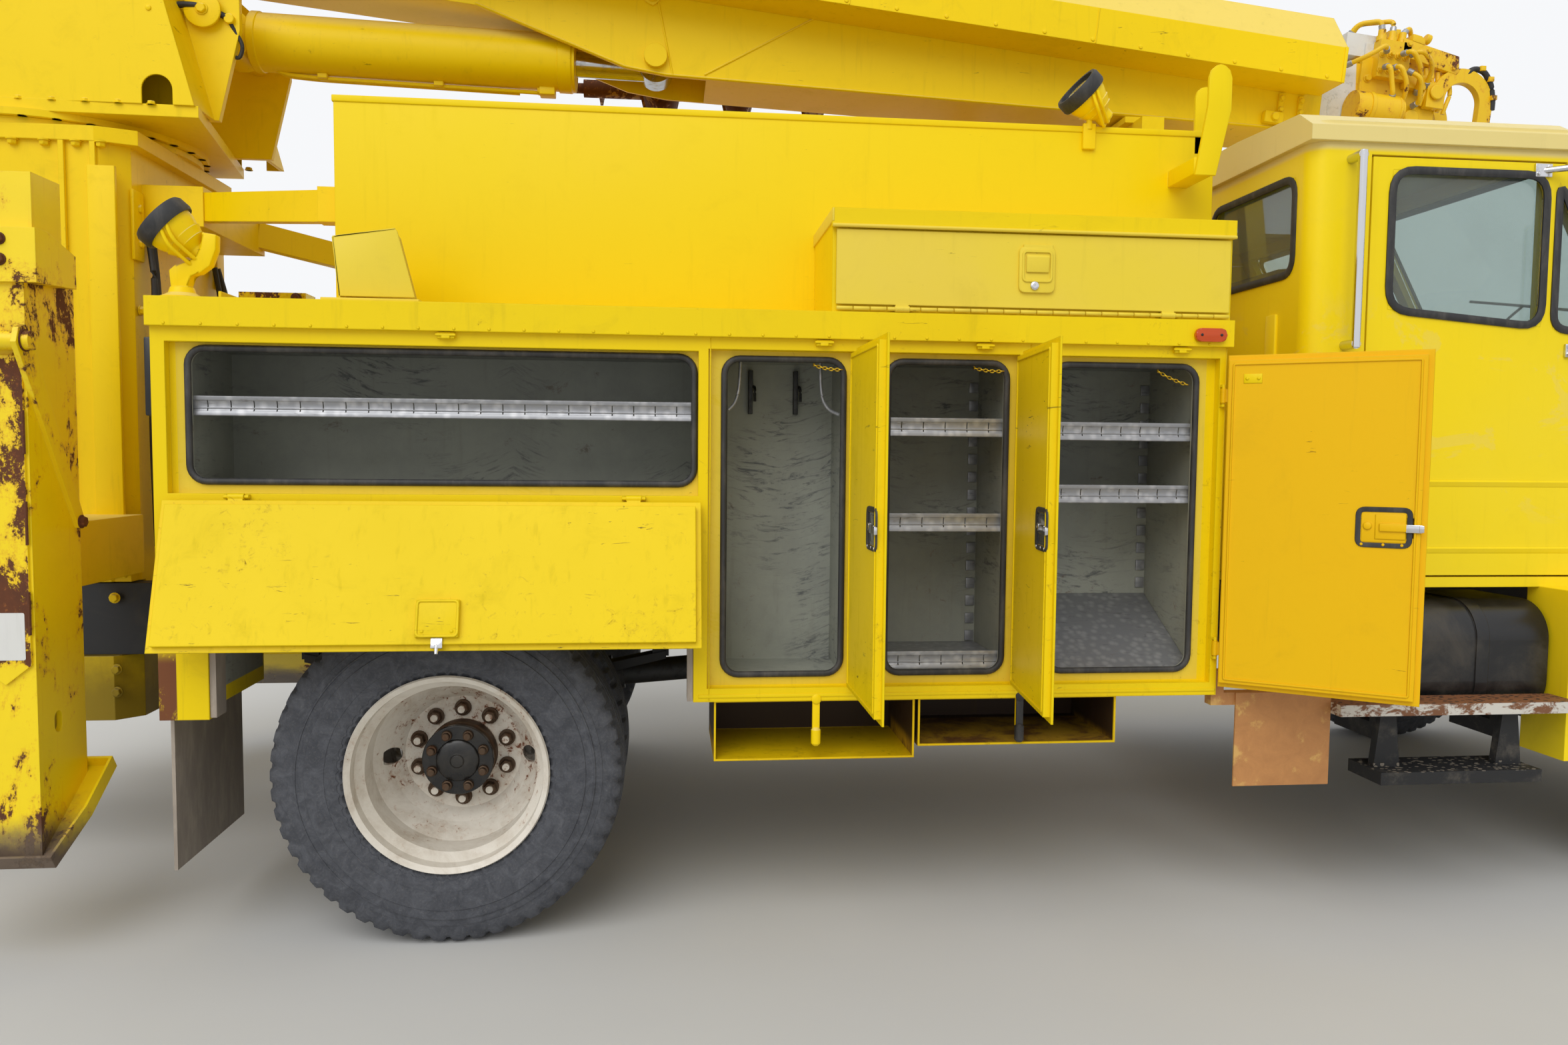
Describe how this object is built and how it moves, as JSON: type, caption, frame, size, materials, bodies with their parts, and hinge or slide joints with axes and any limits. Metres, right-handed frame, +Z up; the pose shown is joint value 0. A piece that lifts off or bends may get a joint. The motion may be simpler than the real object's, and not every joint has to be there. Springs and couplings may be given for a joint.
{
  "type": "digger derrick truck",
  "caption": "Two-axle utility truck with a service body, a rear pedestal, a turning telescopic derrick boom, an auger and outriggers.",
  "frame": {"origin": "on the ground under the middle of the truck, halfway along its length and width", "axes": "+X towards the front of the truck, +Y to its left side, +Z up"},
  "size_m": [7.6, 3.369, 3.6695],
  "materials": {
    "yellow_paint": "satin",
    "white_paint": "satin",
    "black_paint": "satin",
    "cast_iron": "rough",
    "galvanised": "dull",
    "glass": "clear",
    "seat_vinyl": "matt",
    "rubber": "matt",
    "black_plastic": "matt",
    "tyre": "matt",
    "rusty_steel": "rusty",
    "chrome": "polished",
    "fibreglass": "gloss"
  },
  "bodies": {
    "chassis": {"frame_rails": "black_paint", "rear_axle": "black_paint", "front_axle": "black_paint", "engine_and_gearbox": "cast_iron", "fuel_tanks": "black_paint", "cab_steps_and_handles": "galvanised", "cab_shell": "yellow_paint", "cab_glass": "glass", "cab_interior": "seat_vinyl", "front_bumper": "yellow_paint", "service_body_right": "yellow_paint", "service_body_left": "yellow_paint", "body_deck": "yellow_paint", "side_panels": "yellow_paint", "shelves": "galvanised", "door_seals": "rubber", "under_trays": "yellow_paint", "mud_flaps": "rubber", "pedestal": "yellow_paint", "outrigger_frame": "yellow_paint", "boom_rest": "yellow_paint", "lamps": "black_plastic"},
    "hood": {"hood": "yellow_paint"},
    "cab_door_right": {"cab_door_right": "yellow_paint", "door_glass_right": "glass"},
    "steering_knuckle_right": {"steering_knuckle_right": "black_paint"},
    "front_wheel_right": {"front_wheel_right": "white_paint", "front_tyre_right": "tyre"},
    "rear_wheels_right": {"rear_wheels_right": "white_paint", "rear_tyres_right": "tyre"},
    "front_side_door_right": {"front_side_door_right": "yellow_paint"},
    "middle_side_door_right": {"middle_side_door_right": "yellow_paint"},
    "rear_side_door_right": {"rear_side_door_right": "yellow_paint"},
    "flip_door_right": {"flip_door_right": "yellow_paint"},
    "top_box_door_right": {"top_box_door_right": "yellow_paint"},
    "outrigger_leg_right": {"outrigger_leg_right": "rusty_steel"},
    "cab_door_left": {"cab_door_left": "yellow_paint", "door_glass_left": "glass"},
    "steering_knuckle_left": {"steering_knuckle_left": "black_paint"},
    "front_wheel_left": {"front_wheel_left": "white_paint", "front_tyre_left": "tyre"},
    "rear_wheels_left": {"rear_wheels_left": "white_paint", "rear_tyres_left": "tyre"},
    "front_side_door_left": {"front_side_door_left": "yellow_paint"},
    "middle_side_door_left": {"middle_side_door_left": "yellow_paint"},
    "rear_side_door_left": {"rear_side_door_left": "yellow_paint"},
    "flip_door_left": {"flip_door_left": "yellow_paint"},
    "top_box_door_left": {"top_box_door_left": "yellow_paint"},
    "outrigger_leg_left": {"outrigger_leg_left": "rusty_steel"},
    "turret": {"turret": "yellow_paint"},
    "lift_barrel": {"lift_barrel": "yellow_paint"},
    "lift_rod": {"lift_rod": "chrome"},
    "lower_boom": {"lower_boom": "yellow_paint"},
    "mid_boom": {"mid_boom": "yellow_paint"},
    "tip_boom": {"tip_boom": "fibreglass"},
    "winch_drum": {"winch_drum": "rusty_steel"},
    "pole_claw": {"pole_claw": "rusty_steel"},
    "auger": {"auger": "rusty_steel"}
  },
  "joints": [
    {"name": "rear_wheels_spin_right", "type": "hinge", "parent": "chassis", "child": "rear_wheels_right", "pos_m": [-1.65, -0.91, 0.515], "axis": [0, 1, 0], "continuous": true},
    {"name": "steer_right", "type": "hinge", "parent": "chassis", "child": "steering_knuckle_right", "pos_m": [2.8, -0.88, 0.515], "axis": [0, 0, 1], "range_deg": [-35, 35]},
    {"name": "front_wheel_spin_right", "type": "hinge", "parent": "steering_knuckle_right", "child": "front_wheel_right", "pos_m": [2.8, -1.19, 0.515], "axis": [0, 1, 0], "continuous": true},
    {"name": "cab_door_hinge_right", "type": "hinge", "parent": "chassis", "child": "cab_door_right", "pos_m": [2.211, -1.065, 1.475], "axis": [0, 0, 1], "range_deg": [0, 65]},
    {"name": "front_side_door_hinge_right", "type": "hinge", "parent": "chassis", "child": "front_side_door_right", "pos_m": [0.686, -1.232, 1.27], "axis": [0, 0, 1], "range_deg": [-145, 0]},
    {"name": "middle_side_door_hinge_right", "type": "hinge", "parent": "chassis", "child": "middle_side_door_right", "pos_m": [0.055, -1.232, 1.27], "axis": [0, 0, 1], "range_deg": [-84, 0]},
    {"name": "rear_side_door_hinge_right", "type": "hinge", "parent": "chassis", "child": "rear_side_door_right", "pos_m": [-0.45, -1.232, 1.27], "axis": [0, 0, 1], "range_deg": [-90.6, 0]},
    {"name": "flip_door_hinge_right", "type": "hinge", "parent": "chassis", "child": "flip_door_right", "pos_m": [-1.65, -1.232, 1.336], "axis": [1, 0, 0], "range_deg": [-163, 0]},
    {"name": "top_box_door_hinge_right", "type": "hinge", "parent": "chassis", "child": "top_box_door_right", "pos_m": [0.089, -1.232, 1.9], "axis": [1, 0, 0], "range_deg": [0, 90]},
    {"name": "outrigger_slide_right", "type": "slide", "parent": "chassis", "child": "outrigger_leg_right", "axis": [0, 0, -1], "range_m": [0, 0.28]},
    {"name": "rear_wheels_spin_left", "type": "hinge", "parent": "chassis", "child": "rear_wheels_left", "pos_m": [-1.65, 0.91, 0.515], "axis": [0, 1, 0], "continuous": true},
    {"name": "steer_left", "type": "hinge", "parent": "chassis", "child": "steering_knuckle_left", "pos_m": [2.8, 0.88, 0.515], "axis": [0, 0, 1], "range_deg": [-35, 35]},
    {"name": "front_wheel_spin_left", "type": "hinge", "parent": "steering_knuckle_left", "child": "front_wheel_left", "pos_m": [2.8, 1.19, 0.515], "axis": [0, 1, 0], "continuous": true},
    {"name": "cab_door_hinge_left", "type": "hinge", "parent": "chassis", "child": "cab_door_left", "pos_m": [2.211, 1.065, 1.475], "axis": [0, 0, -1], "range_deg": [0, 65]},
    {"name": "front_side_door_hinge_left", "type": "hinge", "parent": "chassis", "child": "front_side_door_left", "pos_m": [0.686, 1.232, 1.27], "axis": [0, 0, -1], "range_deg": [-145, 0]},
    {"name": "middle_side_door_hinge_left", "type": "hinge", "parent": "chassis", "child": "middle_side_door_left", "pos_m": [0.055, 1.232, 1.27], "axis": [0, 0, -1], "range_deg": [-84, 0]},
    {"name": "rear_side_door_hinge_left", "type": "hinge", "parent": "chassis", "child": "rear_side_door_left", "pos_m": [-0.45, 1.232, 1.27], "axis": [0, 0, -1], "range_deg": [-90.6, 0]},
    {"name": "flip_door_hinge_left", "type": "hinge", "parent": "chassis", "child": "flip_door_left", "pos_m": [-1.65, 1.232, 1.336], "axis": [-1, 0, 0], "range_deg": [-163, 0]},
    {"name": "top_box_door_hinge_left", "type": "hinge", "parent": "chassis", "child": "top_box_door_left", "pos_m": [0.089, 1.232, 1.9], "axis": [-1, 0, 0], "range_deg": [0, 90]},
    {"name": "outrigger_slide_left", "type": "slide", "parent": "chassis", "child": "outrigger_leg_left", "axis": [0, 0, -1], "range_m": [0, 0.28]},
    {"name": "hood_tilt", "type": "hinge", "parent": "chassis", "child": "hood", "pos_m": [3.68, 0, 0.705], "axis": [0, 1, 0], "range_deg": [0, 60]},
    {"name": "turret_turn", "type": "hinge", "parent": "chassis", "child": "turret", "pos_m": [-3.25, 0, 2.57], "axis": [0, 0, 1], "continuous": true},
    {"name": "boom_lift", "type": "hinge", "parent": "turret", "child": "lower_boom", "pos_m": [-3.1, 0, 3.55], "axis": [0, -1, 0], "range_deg": [0, 75]},
    {"name": "lift_barrel_pivot", "type": "hinge", "parent": "turret", "child": "lift_barrel", "pos_m": [-2.634, 0, 3.008], "axis": [0, -1, 0], "range_deg": [0, 77]},
    {"name": "lift_rod_slide", "type": "slide", "parent": "lift_barrel", "child": "lift_rod", "axis": [0.9997, 0, -0.0234], "range_m": [0, 0.88]},
    {"name": "mid_boom_slide", "type": "slide", "parent": "lower_boom", "child": "mid_boom", "axis": [0.995, 0, -0.0995], "range_m": [0, 2.9]},
    {"name": "tip_boom_slide", "type": "slide", "parent": "mid_boom", "child": "tip_boom", "axis": [0.995, 0, -0.0995], "range_m": [0, 2.7]},
    {"name": "winch_drum_spin", "type": "hinge", "parent": "tip_boom", "child": "winch_drum", "pos_m": [2.04155, 0, 2.8805], "axis": [0, 1, 0], "continuous": true},
    {"name": "pole_claw_tilt", "type": "hinge", "parent": "tip_boom", "child": "pole_claw", "pos_m": [2.12314, 0, 2.97284], "axis": [0, 1, 0], "range_deg": [0, 90]},
    {"name": "auger_spin", "type": "hinge", "parent": "lower_boom", "child": "auger", "pos_m": [-0.15, 0.62, 3.084], "axis": [1, 0, 0], "continuous": true}
  ],
  "couplings": [
    {"joint": "steer_left", "follows": "steer_right", "ratio": 1},
    {"joint": "lift_barrel_pivot", "follows": "boom_lift", "ratio": 1.0214},
    {"joint": "lift_rod_slide", "follows": "boom_lift", "m_per_rad": 0.6635}
  ]
}
